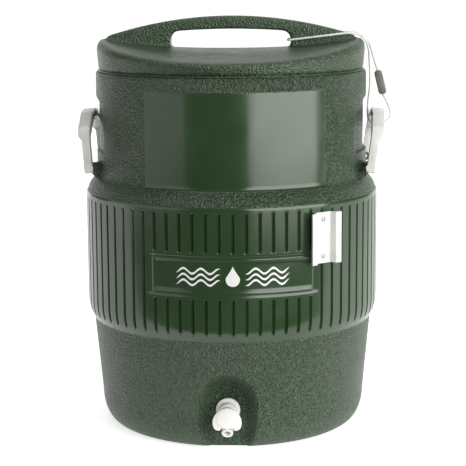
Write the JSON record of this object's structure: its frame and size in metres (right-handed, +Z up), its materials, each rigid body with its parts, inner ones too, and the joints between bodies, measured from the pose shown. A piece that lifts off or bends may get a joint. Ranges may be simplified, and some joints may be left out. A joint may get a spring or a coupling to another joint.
{
  "type": "insulated drinks jug",
  "caption": "Round insulated jug with a ribbed band, lift-off lid with a carrying handle, two side bails, push-button spigot, cup-dispenser bracket and lid tether.",
  "frame": {"origin": "centre of the flat base, on the surface the jug stands on", "axes": "+Z up, -Y towards the spigot, +X towards the bail that the tether is looped through"},
  "size_m": [0.3986, 0.3774, 0.525],
  "materials": {
    "green_plastic": "moulded polyethylene, pebble-textured with smooth band",
    "white_plastic": "satin",
    "liner_plastic": "smooth",
    "foam": "rigid urethane foam",
    "rubber": "matt",
    "steel": "plain",
    "cord": "braided",
    "clip_plastic": "satin"
  },
  "bodies": {
    "jug": {"outer_shell": "green_plastic", "foam_insulation": "foam", "inner_liner": "liner_plastic", "spigot_body": "white_plastic", "spigot_outer_gasket": "rubber", "spigot_inner_gasket": "rubber", "spigot_lock_nut": "white_plastic", "return_spring": "steel", "cup_bracket": "white_plastic", "bracket_screw_upper": "steel", "bracket_screw_lower": "steel", "bail_pin_left_front": "white_plastic", "bail_pin_left_rear": "white_plastic", "bail_pin_right_front": "white_plastic", "bail_pin_right_rear": "white_plastic", "tether_cord": "cord", "cord_clip": "clip_plastic"},
    "lid": {"lid_shell": "green_plastic", "lid_foam": "foam", "lid_liner": "liner_plastic"},
    "left_bail": {"bail_left": "white_plastic"},
    "right_bail": {"bail_right": "white_plastic"},
    "button": {"push_button": "white_plastic", "valve_stem": "white_plastic", "valve_seal": "rubber"}
  },
  "joints": [
    {"name": "lid_lift", "type": "slide", "parent": "jug", "child": "lid", "axis": [0, 0, 1], "range_m": [0, 0.06], "deforming": ["tether_cord"]},
    {"name": "left_bail_swing", "type": "hinge", "parent": "jug", "child": "left_bail", "pos_m": [-0.1765, 0, 0.338], "axis": [0, -1, 0], "range_deg": [-2, 92]},
    {"name": "right_bail_swing", "type": "hinge", "parent": "jug", "child": "right_bail", "pos_m": [0.1765, 0, 0.338], "axis": [0, 1, 0], "range_deg": [-0.5, 3]},
    {"name": "button_press", "type": "slide", "parent": "jug", "child": "button", "axis": [0, 1, 0], "range_m": [0, 0.004], "stiffness_N_per_m": 500, "springref_m": -0.002, "deforming": ["return_spring"]}
  ]
}
